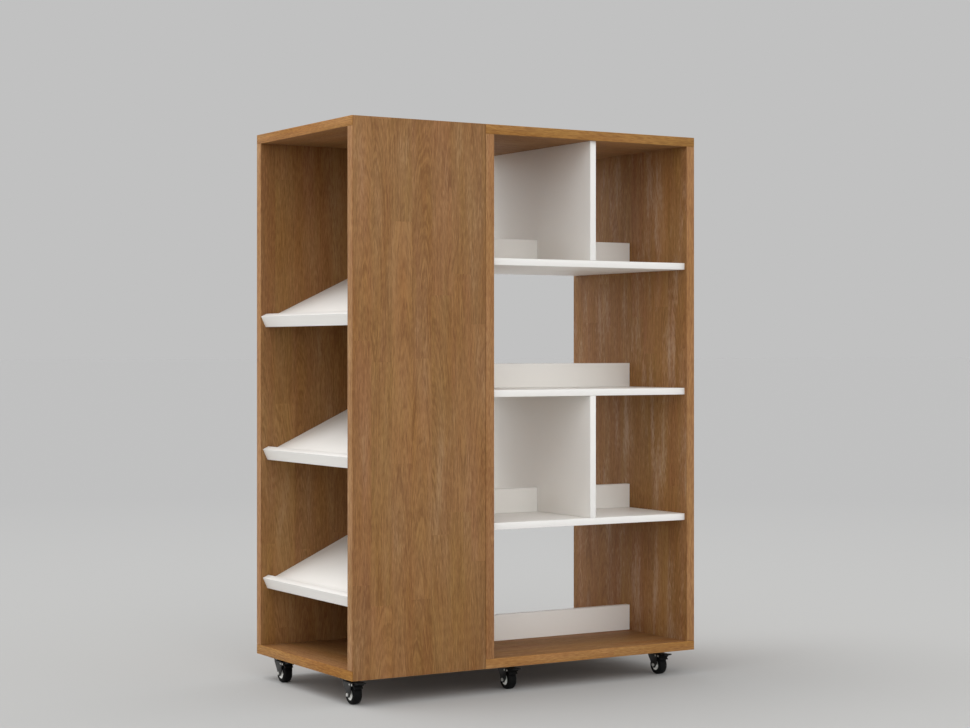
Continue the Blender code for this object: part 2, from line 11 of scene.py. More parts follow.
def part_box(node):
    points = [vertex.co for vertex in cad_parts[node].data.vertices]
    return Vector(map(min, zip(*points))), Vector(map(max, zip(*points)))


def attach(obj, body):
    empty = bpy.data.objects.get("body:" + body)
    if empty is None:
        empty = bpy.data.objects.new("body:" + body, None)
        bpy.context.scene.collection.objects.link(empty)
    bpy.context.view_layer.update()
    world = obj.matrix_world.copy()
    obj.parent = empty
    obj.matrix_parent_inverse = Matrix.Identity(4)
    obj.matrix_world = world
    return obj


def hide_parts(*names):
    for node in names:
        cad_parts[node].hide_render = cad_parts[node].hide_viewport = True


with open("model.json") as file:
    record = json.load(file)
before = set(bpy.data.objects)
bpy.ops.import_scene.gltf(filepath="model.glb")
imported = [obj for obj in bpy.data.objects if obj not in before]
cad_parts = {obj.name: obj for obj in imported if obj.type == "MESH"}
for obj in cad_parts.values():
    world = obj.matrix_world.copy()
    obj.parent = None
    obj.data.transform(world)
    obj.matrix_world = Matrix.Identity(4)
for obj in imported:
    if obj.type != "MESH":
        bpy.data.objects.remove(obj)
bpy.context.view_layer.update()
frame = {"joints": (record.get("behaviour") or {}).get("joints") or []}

# The display tower's two sides.
# Full-height panels of particleboard, veneered on both faces with narrow upright oak staves and lacquered
# matt. The other boards are doweled between them, and their edges are eased with a fine sanding.
MM = 0.001
EASED_EDGE = 0.8 * MM
FIT_GAP = 0.3 * MM
SMOOTH_BELOW = math.radians(25)
SHARP_ABOVE = math.radians(40)
ON_FACE = 0.01 * MM


def linear(written):
    """A written sRGB hex colour as the linear RGBA that a shader takes."""
    shares = [int(written[i : i + 2], 16) / 255 for i in (1, 3, 5)]
    return [s / 12.92 if s <= 0.04045 else ((s + 0.055) / 1.055) ** 2.4 for s in shares] + [1.0]


def new_finish(name):
    """An empty node material."""
    finish = bpy.data.materials.new(name)
    finish.use_nodes = True
    finish.node_tree.nodes.clear()
    return finish


def add(finish, kind, inputs, **settings):
    """Adds a node with its settings. An input takes a value, or the node or socket that it is linked to."""
    node = finish.node_tree.nodes.new("ShaderNode" + kind)
    for name, value in settings.items():
        setattr(node, name, value)
    for key, source in inputs.items():
        socket = node.inputs[key]
        if isinstance(key, str):
            socket = next(s for s in node.inputs if s.name == key and s.enabled)
        if isinstance(source, bpy.types.Node):
            source = next(s for s in source.outputs if s.enabled)
        if isinstance(source, bpy.types.NodeSocket):
            finish.node_tree.links.new(source, socket)
        else:
            socket.default_value = source
    return node


def oak(name, deep, pale, fleck, stave, ring, contrast, flecks):
    """Sliced oak under matt lacquer. Growth rings give arches and straight lines, pores short dashes, and
    rays pale flecks. A stave is (width, length) in metres, and flecks are (start, strength)."""
    finish = new_finish(name)
    grain = add(finish, "Attribute", {}, attribute_name="grain").outputs["Vector"]
    across, through, along = add(finish, "SeparateXYZ", {0: grain}).outputs

    # Each stave is cut from its own place in a log, so its rings have their own centre and slope.
    lane = add(finish, "Math", {0: across, 1: stave[0]}, operation="DIVIDE")
    lane_number = add(finish, "Math", {0: lane}, operation="FLOOR")
    start = add(finish, "TexWhiteNoise", {"W": lane_number}, noise_dimensions="1D")
    run = add(finish, "Math", {0: along, 1: 1 / stave[1], 2: start}, operation="MULTIPLY_ADD")
    run_number = add(finish, "Math", {0: run}, operation="FLOOR")
    stave_number = add(finish, "CombineXYZ", {0: lane_number, 1: run_number})
    cut = add(finish, "TexWhiteNoise", {"Vector": stave_number}, noise_dimensions="2D").outputs["Color"]
    aside, below, slope = add(finish, "SeparateColor", {0: cut}).outputs
    in_lane = add(finish, "Math", {0: lane}, operation="FRACT")
    in_run = add(finish, "Math", {0: run}, operation="FRACT")
    heart_side = {"Value": aside, "To Min": -1.4 * stave[0], "To Max": 0.4 * stave[0]}
    off_heart = add(finish, "MapRange", heart_side)
    heart_x = add(finish, "Math", {0: in_lane, 1: stave[0], 2: off_heart}, operation="MULTIPLY_ADD")
    heart_depth = add(finish, "MapRange", {"Value": below, "To Min": 4 * MM, "To Max": 40 * MM})
    lean = add(finish, "MapRange", {"Value": slope, "To Min": -60 * MM, "To Max": 60 * MM})
    heart_y = add(finish, "Math", {0: in_run, 1: lean, 2: heart_depth}, operation="MULTIPLY_ADD")
    from_heart = add(finish, "CombineXYZ", {0: heart_x, 1: heart_y})
    radius = add(finish, "VectorMath", {0: from_heart}, operation="LENGTH").outputs["Value"]

    # Growth rings wander over about 40 mm across and 250 mm along.
    wander_place = add(finish, "VectorMath", {0: grain, 1: (25, 25, 4)}, operation="MULTIPLY")
    wander = add(finish, "TexNoise", {"Vector": wander_place, "Scale": 1.0, "Detail": 3.0})
    rings = add(finish, "Math", {0: radius, 1: ring}, operation="DIVIDE")
    bent_rings = add(finish, "Math", {0: wander, 1: 1.6, 2: rings}, operation="MULTIPLY_ADD")
    phase = add(finish, "Math", {0: bent_rings}, operation="FRACT")
    late_wood = add(finish, "MapRange", {"Value": phase, "From Max": 0.5}, interpolation_type="SMOOTHSTEP")

    # Fine lines run along the rings, three or four to a ring. Pores are really under 0.3 mm wide, but are
    # drawn 2 mm wide and 18 mm long, so that they show, and lean a little in each stave.
    line_place = add(finish, "CombineXYZ", {0: bent_rings, 1: below, 2: along})
    slant = add(finish, "MapRange", {"Value": slope, "To Min": -0.06, "To Max": 0.06})
    leaning = add(finish, "Math", {0: slant, 1: along, 2: across}, operation="MULTIPLY_ADD")
    fibre = add(finish, "CombineXYZ", {0: leaning, 1: through, 2: along})
    # Broad bands, shifts of hue and rays wander from stave to stave.
    waving = add(finish, "Math", {0: wander, 1: 20 * MM, 2: across}, operation="MULTIPLY_ADD")
    broad = add(finish, "CombineXYZ", {0: waving, 1: through, 2: along})
    # Noise cells to a metre across, through and along the grain, or to a ring for the lines. Then come the
    # pores, streaks of 9 by 110 mm, bands of 45 by 400 mm, hues of 25 by 250 mm and rays of 25 by 110 mm.
    layers = []
    for place, cells, detail in (
        (line_place, (3.6, 7.0, 8.0), 2.0),
        (fibre, (560, 560, 55), 2.0),
        (fibre, (110, 110, 9), 2.0),
        (broad, (22, 22, 2.5), 3.0),
        (broad, (40, 40, 4), 2.0),
        (broad, (40, 40, 9), 3.0),
    ):
        cell_place = add(finish, "VectorMath", {0: place, 1: cells}, operation="MULTIPLY")
        layers.append(add(finish, "TexNoise", {"Vector": cell_place, "Scale": 1.0, "Detail": detail}))
    lines, pores, streaks, bands, hues, rays = layers
    tone = 0.5
    for layer, share in ((lines, 1.7), (pores, 2.0), (streaks, 0.3), (bands, 0.6), (below, 0.4)):
        centred = add(finish, "Math", {0: layer, 1: 0.5}, operation="SUBTRACT")
        tone = add(finish, "Math", {0: centred, 1: share * contrast, 2: tone}, operation="MULTIPLY_ADD")
    wood = add(finish, "Mix", {"Factor": tone, "A": linear(deep), "B": linear(pale)}, data_type="RGBA")
    hue_here = add(finish, "Math", {0: aside, 1: 0.4, 2: hues}, operation="MULTIPLY_ADD")
    hue = add(finish, "MapRange", {"Value": hue_here, "From Max": 1.4, "To Min": 0.487, "To Max": 0.513})
    strength = add(finish, "MapRange", {"Value": bands, "To Min": 1.1, "To Max": 0.9})
    warm = add(finish, "HueSaturation", {"Hue": hue, "Saturation": strength, "Color": wood})
    # Rays come out in soft groups, where the broad bands are pale, and the fine grain feathers them.
    grouped = add(finish, "Math", {0: bands, 1: 1.8, 2: rays}, operation="MULTIPLY_ADD")
    feathered = add(finish, "Math", {0: pores, 1: grouped}, operation="ADD")
    fleck_here = add(
        finish,
        "MapRange",
        {"Value": feathered, "From Min": flecks[0], "From Max": flecks[0] + 0.6, "To Max": flecks[1]},
    )
    colour = add(finish, "Mix", {"Factor": fleck_here, "A": warm, "B": linear(fleck)}, data_type="RGBA")
    roughness = add(finish, "MapRange", {"Value": pores, "To Min": 0.68, "To Max": 0.54})
    height = add(finish, "Math", {0: late_wood, 1: 0.3, 2: pores}, operation="MULTIPLY_ADD")
    relief = add(finish, "Bump", {"Height": height, "Strength": 0.25, "Distance": 0.15 * MM})
    shader = add(
        finish,
        "BsdfPrincipled",
        {"Base Color": colour, "Roughness": roughness, "Specular IOR Level": 0.25, "Normal": relief},
    )
    add(finish, "OutputMaterial", {"Surface": shader})
    return finish


OAK_VENEER = oak(
    "oak_veneer_matt_lacquered",
    deep="#7D5530",
    pale="#9F7446",
    fleck="#B1916B",
    stave=(0.058, 0.61),
    ring=5.5 * MM,
    contrast=1.0,
    flecks=(2.15, 0.4),
)


def ease(shape, radius, segments=2, where=None):
    """Rounds the sharp edges, or those of them whose middle passes the test."""
    sharp = [e for e in shape.edges if len(e.link_faces) == 2 and e.calc_face_angle() > SHARP_ABOVE]
    if where:
        sharp = [e for e in sharp if where((e.verts[0].co + e.verts[1].co) / 2)]
    bmesh.ops.bevel(
        shape, geom=sharp, offset=radius, segments=segments, profile=0.5, affect="EDGES", material=-1
    )


def add_block(shape, low, high):
    """A block between two corners, in a bmesh."""
    low, high = Vector(low), Vector(high)
    place = Matrix.LocRotScale((low + high) / 2, None, high - low)
    bmesh.ops.create_cube(shape, size=1, matrix=place)


def placed(shape, name, finishes, slot, body, *nodes):
    """The finished bmesh as a piece that rides on a body and stands for these CAD nodes."""
    bmesh.ops.recalc_face_normals(shape, faces=shape.faces)
    mesh = bpy.data.meshes.new(name)
    shape.to_mesh(mesh)
    shape.free()
    mesh.shade_smooth()
    mesh.set_sharp_from_angle(angle=SMOOTH_BELOW)
    for finish in finishes:
        mesh.materials.append(finish)
    piece = bpy.data.objects.new(name, mesh)
    bpy.context.scene.collection.objects.link(piece)
    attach(piece, body)
    if nodes:
        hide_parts(*nodes)
    return piece


# Each board comes from a place this much further on in the log.
OFFCUT = Vector((0.417, 0.233, 0.871))
boards_cut = []


def lay_grain(piece, axes):
    """Gives the wood its own coordinates: these axes run across, through and along the grain."""
    boards_cut.append(piece.name)
    order = ["xyz".index(axis) for axis in axes]
    offcut = OFFCUT * len(boards_cut)
    grain = piece.data.attributes.new("grain", "FLOAT_VECTOR", "POINT")
    for vertex, value in zip(piece.data.vertices, grain.data):
        value.vector = offcut + Vector([vertex.co[axis] for axis in order])


def oak_board(node, low, high, axes, left_veneer=None):
    """A veneered board in place of its CAD node. Its left face may have a veneer of its own."""
    shape = bmesh.new()
    add_block(shape, low, high)
    ease(shape, EASED_EDGE)
    veneers = [OAK_VENEER]
    if left_veneer:
        veneers.append(left_veneer)
        for face in shape.faces:
            face.material_index = int(face.calc_center_median().x < low.x + ON_FACE)
    piece = placed(shape, f"{node}_panel", veneers, "oak", "carcass", node)
    lay_grain(piece, axes)


for node in ("tower_front_side", "tower_rear_side"):
    oak_board(node, *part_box(node), "xyz")
front_low, front_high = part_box("tower_front_side")
rear_low, rear_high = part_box("tower_rear_side")

# The tower's top, base and back.
# Boards of the same veneered stock, doweled between the sides. The top and base have their grain across
# the tower, and the thinner back, which is bolted to the bookcase, has it upright.
TOWER_BACK_BOARD = 18 * MM
tower_y = (front_high.y + FIT_GAP, rear_low.y - FIT_GAP)
back_face = front_high.x - TOWER_BACK_BOARD
for node, axes in (("tower_top", "xzy"), ("tower_base", "xzy"), ("tower_back", "yxz")):
    low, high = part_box(node)
    low.y, high.y = tower_y
    if node == "tower_back":
        low.x, high.x = back_face, front_high.x
    oak_board(node, low, high, axes)

# The three sloping display shelves and their lips.
# White melamine-faced boards that rise from the open end to the tower's back. A lip of the same board is
# doweled to the low edge of each, square to it, and keeps the books from sliding off.
DISPLAY_SLOPE = math.radians(25)
WHITE_BOARD = 18 * MM
LIP_THICKNESS = 18 * MM
LIP_RISE = 14 * MM
EDGE_BAND = 2 * MM
BAND_EASE = 0.6 * MM


def white_finish(name, shade, light, roughness, pearl):
    """Satin white board. A fine pearl texture, really about 0.5 mm and drawn 2 mm, breaks up the gloss, and
    years of handling leave a faint haze, about 150 mm across."""
    finish = new_finish(name)
    place = add(finish, "TexCoord", {}).outputs["Object"]
    haze = add(finish, "TexNoise", {"Vector": place, "Scale": 7.0, "Detail": 4.0})
    grit = add(finish, "TexNoise", {"Vector": place, "Scale": 500.0, "Detail": 1.0})
    colour = add(
        finish, "Mix", {"Factor": haze, "A": linear(shade), "B": linear(light)}, data_type="RGBA"
    )
    gloss = add(
        finish, "MapRange", {"Value": haze, "To Min": roughness - 0.08, "To Max": roughness + 0.08}
    )
    relief = add(finish, "Bump", {"Height": grit, "Strength": pearl, "Distance": 0.05 * MM})
    shader = add(
        finish, "BsdfPrincipled", {"Base Color": colour, "Roughness": gloss, "IOR": 1.5, "Normal": relief}
    )
    add(finish, "OutputMaterial", {"Surface": shader})
    return finish


WHITE_MELAMINE = white_finish("white_melamine_pearl", "#F3F1EC", "#F8F6F2", roughness=0.45, pearl=0.3)
WHITE_BAND = white_finish("white_abs_edge_band", "#EFEDE9", "#F3F1EE", roughness=0.36, pearl=0.1)


def banded(shape, low, high, bands):
    """Draws a board with an ABS band on the sides that it names, such as -y."""
    add_block(shape, low, high)
    ease(shape, BAND_EASE)
    for side in bands:
        axis = "xyz".index(side[1])
        outward = Vector()
        outward[axis] = -1 if side[0] == "-" else 1
        edge = Vector(low if side[0] == "-" else high) - outward * EDGE_BAND
        whole = shape.verts[:] + shape.edges[:] + shape.faces[:]
        bmesh.ops.bisect_plane(shape, geom=whole, dist=1e-7, plane_co=edge, plane_no=outward)
        for face in shape.faces:
            if (face.calc_center_median() - edge).dot(outward) > 0:
                face.material_index = 1


def white_board(node, low, high, bands, slope=None):
    """A white board in place of its CAD node, turned and moved by the slope's matrix if it has one."""
    shape = bmesh.new()
    banded(shape, low, high, bands)
    if slope:
        bmesh.ops.transform(shape, matrix=slope, verts=shape.verts)
    placed(shape, f"{node}_board", [WHITE_MELAMINE, WHITE_BAND], "white", "carcass", node)


uphill = Vector((math.cos(DISPLAY_SLOPE), 0, math.sin(DISPLAY_SLOPE)))
square = Vector((-math.sin(DISPLAY_SLOPE), 0, math.cos(DISPLAY_SLOPE)))
lip_height = WHITE_BOARD + LIP_RISE
half_width = (tower_y[1] - tower_y[0]) / 2
shelf_ends = []
for level in ("lower", "middle", "upper"):
    lip_low, lip_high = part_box(f"display_lip_{level}")
    lip_middle = (lip_low + lip_high) / 2
    tilt = Matrix.LocRotScale(lip_middle, Matrix.Rotation(-DISPLAY_SLOPE, 3, "Y"), None)
    lip_corner = Vector((LIP_THICKNESS / 2, half_width, lip_height / 2))
    white_board(f"display_lip_{level}", -lip_corner, lip_corner, ("+z", "-z"), tilt)

    start = LIP_THICKNESS / 2 + FIT_GAP
    low_edge = lip_middle + uphill * start + square * (WHITE_BOARD / 2 - lip_height / 2)
    room = back_face - FIT_GAP - low_edge.x - WHITE_BOARD / 2 * math.sin(DISPLAY_SLOPE)
    length = room / math.cos(DISPLAY_SLOPE)
    shelf_low = (start, -half_width, -lip_height / 2)
    shelf_high = (start + length, half_width, WHITE_BOARD - lip_height / 2)
    white_board(f"display_shelf_{level}", shelf_low, shelf_high, (), tilt)
    shelf_ends.append((low_edge + uphill * length).z)

# The bookcase's two sides, top and base.
# Panels of the veneered stock. The sides have their grain upright, and the right one's inner face has a
# veneer with more pale flecks: ray flecks, and painted glints of light on its grain. The top and base,
# doweled between them, have it along the bookcase.
# More and paler flecks than the other veneer: partly ray flecks, partly painted glints where light catches
# the grain.
OAK_FLECKS_AND_PAINTED_GLINTS = oak(
    "oak_veneer_flecks_and_painted_glints",
    deep="#805731",
    pale="#A37748",
    fleck="#BCA188",
    stave=(0.058, 0.61),
    ring=5.5 * MM,
    contrast=1.0,
    flecks=(1.98, 0.74),
)
oak_board("bookcase_left_side", *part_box("bookcase_left_side"), "yxz")
oak_board("bookcase_right_side", *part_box("bookcase_right_side"), "yxz", OAK_FLECKS_AND_PAINTED_GLINTS)
left_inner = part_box("bookcase_left_side")[1].x
right_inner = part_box("bookcase_right_side")[0].x
box_x = (left_inner + FIT_GAP, right_inner - FIT_GAP)
for node in ("bookcase_top", "bookcase_base"):
    low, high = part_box(node)
    low.x, high.x = box_x
    oak_board(node, low, high, "yzx")

# The connector bolts.
# Six nickel-plated furniture bolts and sleeve nuts clamp the tower's back to the bookcase's left side.
# Their flat round heads, with a hexagon socket, lie on the two inner faces.
BOLT_HEAD_DIAMETER = 15 * MM
BOLT_HEAD_THICKNESS = 2 * MM
BOLT_SOCKET = 5 * MM
BOLT_SOCKET_DEPTH = 1.6 * MM
BOLT_EASE = 0.4 * MM
BOLT_MARGIN = 110 * MM


def metal_finish(name, dark, bright, roughness, metallic, grit):
    """A plated or coated steel surface. Fine grit, in metres, and soft stains vary its shine a little."""
    finish = new_finish(name)
    place = add(finish, "TexCoord", {}).outputs["Object"]
    speckle = add(finish, "TexNoise", {"Vector": place, "Scale": 1 / grit, "Detail": 2.0})
    stain = add(finish, "TexNoise", {"Vector": place, "Scale": 80.0, "Detail": 3.0})
    colour = add(
        finish, "Mix", {"Factor": stain, "A": linear(dark), "B": linear(bright)}, data_type="RGBA"
    )
    gloss = add(
        finish, "MapRange", {"Value": stain, "To Min": roughness - 0.1, "To Max": roughness + 0.1}
    )
    relief = add(finish, "Bump", {"Height": speckle, "Strength": 0.2, "Distance": 0.03 * MM})
    shader = add(
        finish,
        "BsdfPrincipled",
        {"Base Color": colour, "Metallic": metallic, "Roughness": gloss, "Normal": relief},
    )
    add(finish, "OutputMaterial", {"Surface": shader})
    return finish


NICKEL = metal_finish(
    "nickel_plate_satin", "#8C8780", "#C2BDB4", roughness=0.34, metallic=1.0, grit=0.4 * MM
)


def add_head(shape, place):
    """A round bolt head with a hexagon socket, standing along the local Z from its seat."""
    radius = BOLT_HEAD_DIAMETER / 2
    outer = bmesh.ops.create_circle(shape, radius=radius, segments=32, cap_ends=False)["verts"]
    rim = [e for e in shape.edges if e.verts[0] in outer and e.verts[1] in outer]
    rise = Vector((0, 0, BOLT_HEAD_THICKNESS))
    side = bmesh.ops.extrude_edge_only(shape, edges=rim)["geom"]
    top = [v for v in side if isinstance(v, bmesh.types.BMVert)]
    bmesh.ops.translate(shape, verts=top, vec=rise)
    top_rim = [e for e in side if isinstance(e, bmesh.types.BMEdge) and all(v in top for v in e.verts)]
    turn = Matrix.Translation(rise)
    socket = bmesh.ops.create_circle(shape, radius=BOLT_SOCKET / 2, segments=6, matrix=turn)["verts"]
    socket_rim = [e for e in shape.edges if e.verts[0] in socket and e.verts[1] in socket]
    bmesh.ops.bridge_loops(shape, edges=top_rim + socket_rim)
    sunk = bmesh.ops.extrude_edge_only(shape, edges=socket_rim)["geom"]
    floor_verts = [v for v in sunk if isinstance(v, bmesh.types.BMVert)]
    bmesh.ops.translate(shape, verts=floor_verts, vec=(0, 0, -BOLT_SOCKET_DEPTH))
    bmesh.ops.contextual_create(shape, geom=floor_verts)
    bmesh.ops.contextual_create(shape, geom=outer)
    made = outer + top + socket + floor_verts
    bmesh.ops.transform(shape, matrix=place, verts=made)


inner_z = (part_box("tower_base")[1].z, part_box("tower_top")[0].z)
bolt_heights = (
    (inner_z[0] + shelf_ends[0]) / 2,
    (shelf_ends[1] + shelf_ends[2]) / 2,
    (shelf_ends[2] + inner_z[1]) / 2,
)
bolt_heads = bmesh.new()
for height in bolt_heights:
    for y in (front_low.y + BOLT_MARGIN, rear_high.y - BOLT_MARGIN):
        for x, way in ((back_face, -1), (box_x[0], 1)):
            turn = Matrix.Rotation(way * math.pi / 2, 4, "Y")
            add_head(bolt_heads, Matrix.Translation((x, y, height)) @ turn)
ease(bolt_heads, BOLT_EASE)
placed(bolt_heads, "connector_bolt_heads", [NICKEL], "zinc", "carcass")

# The edging strips.
# Thin solid oak lippings glued round the tower's open end and the bookcase's front and rear. The level
# rails run right across, and the upright stiles are cut in between them. The tower's are painted the
# palest: a painted sheen for the light that grazes the tower's open end from the left.
EDGING_WIDTH = 25 * MM
STRIP_JOINT = 0.4 * MM


def lipping(name, deep, pale, fleck):
    """Solid oak sawn into long strips, with close straight rings."""
    return oak(name, deep, pale, fleck, stave=(0.9, 6.0), ring=3.5 * MM, contrast=1.0, flecks=(2.15, 0.4))


# The tower's rail and stile colours are paler by a painted sheen, not a paler wood.
TOWER_RAIL_PAINTED_SHEEN = lipping("oak_lipping_tower_rail_painted_sheen", "#8A5A28", "#B58140", "#C7975D")
TOWER_STILE_PAINTED_SHEEN = lipping("oak_lipping_tower_stile_painted_sheen", "#8B5F39", "#B68858", "#CDA478")
BOOKCASE_RAIL = lipping("oak_lipping_bookcase_rail", "#835629", "#AD7C42", "#BE915F")
BOOKCASE_STILE = lipping("oak_lipping_bookcase_stile", "#845933", "#AE8050", "#C49A6D")


def strip(node, place, low, high, finish, axes):
    """One edging strip, as a part of its CAD frame."""
    shape = bmesh.new()
    add_block(shape, low, high)
    ease(shape, BAND_EASE)
    piece = placed(shape, f"{node}_{place}", [finish], "oak_edging", "carcass", node)
    lay_grain(piece, axes)


for node, run, through, rail, stile in (
    ("tower_edging", 1, 0, TOWER_RAIL_PAINTED_SHEEN, TOWER_STILE_PAINTED_SHEEN),
    ("front_edging", 0, 1, BOOKCASE_RAIL, BOOKCASE_STILE),
    ("rear_edging", 0, 1, BOOKCASE_RAIL, BOOKCASE_STILE),
):
    low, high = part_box(node)
    rail_axes = "z" + "xyz"[through] + "xyz"[run]
    stile_axes = "xyz"[run] + "xyz"[through] + "z"
    for place, near in (("bottom_rail", low.z), ("top_rail", high.z - EDGING_WIDTH)):
        far = near + EDGING_WIDTH
        strip(node, place, (low.x, low.y, near), (high.x, high.y, far), rail, rail_axes)
    for place, near in (("first_stile", low[run]), ("second_stile", high[run] - EDGING_WIDTH)):
        start, end = low.copy(), high.copy()
        start[run] = near
        end[run] = near + EDGING_WIDTH
        start.z += EDGING_WIDTH + STRIP_JOINT
        end.z -= EDGING_WIDTH + STRIP_JOINT
        strip(node, place, start, end, stile, stile_axes)

# The bookcase's shelves.
# White melamine-faced boards doweled between the two sides, set back a little from the edging and banded
# along the front and the rear.
for level in ("lower", "middle", "upper"):
    low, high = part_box(f"shelf_{level}")
    low.x, high.x = box_x
    white_board(f"shelf_{level}", low, high, ("-y", "+y"))

# The dividers and the backstops.
# Dividers of the same white board stand in the top and third bays. Low backstops along the middle of each
# level keep the books of the two sides apart. All are doweled into the boards that they stand on.
floors = {
    "divider_upper": "shelf_upper",
    "divider_lower": "shelf_lower",
    "backstop_top_left": "shelf_upper",
    "backstop_top_right": "shelf_upper",
    "backstop_second": "shelf_middle",
    "backstop_third_left": "shelf_lower",
    "backstop_third_right": "shelf_lower",
    "backstop_bottom": "bookcase_base",
}
ceilings = {"divider_upper": "bookcase_top", "divider_lower": "shelf_middle"}
for node, floor_node in floors.items():
    low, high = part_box(node)
    low.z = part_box(floor_node)[1].z + FIT_GAP
    if node in ceilings:
        high.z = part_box(ceilings[node])[0].z - FIT_GAP
        white_board(node, low, high, ("-y", "+y"))
    else:
        white_board(node, low, high, ("+z",))

# The casters' mounting plates.
# A square of black-coated pressed steel, screwed to the base with four cross-head screws. It carries the
# rolled ball race that the fork turns under, and the bright riveted kingpin that holds the fork.
PLATE_SIDE = 50 * MM
PLATE_THICKNESS = 2.5 * MM
PLATE_LOW = 63.3 * MM
PLATE_CORNER = 6 * MM
PRESSED_EDGE = 0.5 * MM
TOUCH_GAP = 0.1 * MM
ON_EDGE = 0.1 * MM
RACE_LOW = 57.3 * MM
RACE_RADIUS = 17 * MM
RACE_FOOT_RADIUS = 15.5 * MM
RACE_FLARE = 0.9 * MM
RACE_FLARE_RISE = 1 * MM
RACE_SHOULDER_RISE = 3 * MM
RACE_EASE = 0.6 * MM
KINGPIN_HEAD_RADIUS = 7 * MM
KINGPIN_RADIUS = 5 * MM
KINGPIN_HEAD_LOW = 50.7 * MM
KINGPIN_HEAD_THICKNESS = 3 * MM
KINGPIN_SHORT = 0.5 * MM
KINGPIN_EASE = 0.8 * MM
SCREW_SPACING = 36 * MM
SCREW_HEAD_RADIUS = 3.8 * MM
SCREW_HEAD_THICKNESS = 2.2 * MM
SCREW_FLAT_RADIUS = 2.09 * MM
SCREW_RIM_RISE = 0.99 * MM
SCREW_EASE = 0.4 * MM
CROSS_ARM = 2.356 * MM
CROSS_HALF_WIDTH = 0.5 * MM
CROSS_FLOOR = 0.77 * MM
BLACK_STEEL = metal_finish(
    "black_coated_steel", "#101010", "#1E1E1E", roughness=0.42, metallic=0.0, grit=0.6 * MM
)
ZINC = metal_finish("zinc_plate_bright", "#C4C4C0", "#E9E9E5", roughness=0.4, metallic=0.7, grit=0.3 * MM)

joints = {joint["name"]: Vector(joint["pos_m"]) for joint in frame["joints"]}
casters = {
    name.removesuffix("_swivel"): Vector((point.x, point.y, 0))
    for name, point in joints.items()
    if name.endswith("_swivel")
}


def turned(profile, segments, axis=(0, 0, 1)):
    """A solid turned about an axis through the origin, from (radius, distance along the axis) points."""
    shape = bmesh.new()
    turn = Vector((0, 0, 1)).rotation_difference(Vector(axis)).to_matrix()
    points = [shape.verts.new(turn @ Vector((radius, 0, height))) for radius, height in profile]
    edges = [shape.edges.new(pair) for pair in zip(points, points[1:])]
    bmesh.ops.spin(
        shape,
        geom=points + edges,
        cent=(0, 0, 0),
        axis=axis,
        angle=math.tau,
        steps=segments,
        use_merge=True,
    )
    bmesh.ops.remove_doubles(shape, verts=shape.verts, dist=1e-6)
    return shape


def on_casters(shape, part, finish, slot, body, node):
    """Copies a shape, drawn round the swivel axis at floor level, to all six casters."""
    for caster, place in casters.items():
        copy = shape.copy()
        bmesh.ops.translate(copy, verts=copy.verts, vec=place)
        rides_on = f"{caster}_{body}" if body != "carcass" else body
        nodes = [f"{caster}_{node}"] if node else []
        placed(copy, f"{caster}_{part}", [finish], slot, rides_on, *nodes)
    shape.free()


plate = bmesh.new()
half_side = PLATE_SIDE / 2
add_block(plate, (-half_side, -half_side, PLATE_LOW), (half_side, half_side, PLATE_LOW + PLATE_THICKNESS))
plate_middle = PLATE_LOW + PLATE_THICKNESS / 2
ease(plate, PLATE_CORNER, segments=6, where=lambda point: abs(point.z - plate_middle) < ON_EDGE)
ease(plate, PRESSED_EDGE)
on_casters(plate, "plate_square", BLACK_STEEL, "caster_steel", "carcass", "plate")

race = turned(
    [
        (KINGPIN_RADIUS, RACE_LOW),
        (RACE_FOOT_RADIUS, RACE_LOW),
        (RACE_FOOT_RADIUS + RACE_FLARE, RACE_LOW + RACE_FLARE_RISE),
        (RACE_RADIUS, RACE_LOW + RACE_SHOULDER_RISE),
        (RACE_RADIUS, PLATE_LOW - TOUCH_GAP),
        (KINGPIN_RADIUS, PLATE_LOW - TOUCH_GAP),
        (KINGPIN_RADIUS, RACE_LOW),
    ],
    segments=48,
)
ease(race, RACE_EASE, segments=3)
on_casters(race, "ball_race", BLACK_STEEL, "caster_steel", "carcass", None)

head_top = KINGPIN_HEAD_LOW + KINGPIN_HEAD_THICKNESS
kingpin = turned(
    [
        (0, KINGPIN_HEAD_LOW),
        (KINGPIN_HEAD_RADIUS, KINGPIN_HEAD_LOW),
        (KINGPIN_HEAD_RADIUS, head_top),
        (KINGPIN_RADIUS - TOUCH_GAP, head_top),
        (KINGPIN_RADIUS - TOUCH_GAP, PLATE_LOW - KINGPIN_SHORT),
        (0, PLATE_LOW - KINGPIN_SHORT),
    ],
    segments=32,
)
ease(kingpin, KINGPIN_EASE, segments=3, where=lambda point: point.z < head_top)
on_casters(kingpin, "kingpin", ZINC, "zinc", "carcass", None)


def applied(shape, tool, operation):
    """The shape joined to the tool, or cut by it, as one closed body."""
    both = []
    for part in (shape, tool):
        mesh = bpy.data.meshes.new("part")
        bmesh.ops.recalc_face_normals(part, faces=part.faces)
        part.to_mesh(mesh)
        part.free()
        both.append(bpy.data.objects.new("part", mesh))
        bpy.context.scene.collection.objects.link(both[-1])
    step = both[0].modifiers.new(operation, "BOOLEAN")
    step.operation = operation
    step.object = both[1]
    view = bpy.context.evaluated_depsgraph_get()
    made = bmesh.new()
    made.from_object(both[0], view)
    for part in both:
        bpy.data.meshes.remove(part.data)
    return made


def stamp(target, shape, place):
    """Adds a copy of a shape, moved to a place, to another bmesh."""
    moved = bpy.data.meshes.new("copy")
    shape.to_mesh(moved)
    moved.transform(Matrix.Translation(place))
    target.from_mesh(moved)
    bpy.data.meshes.remove(moved)


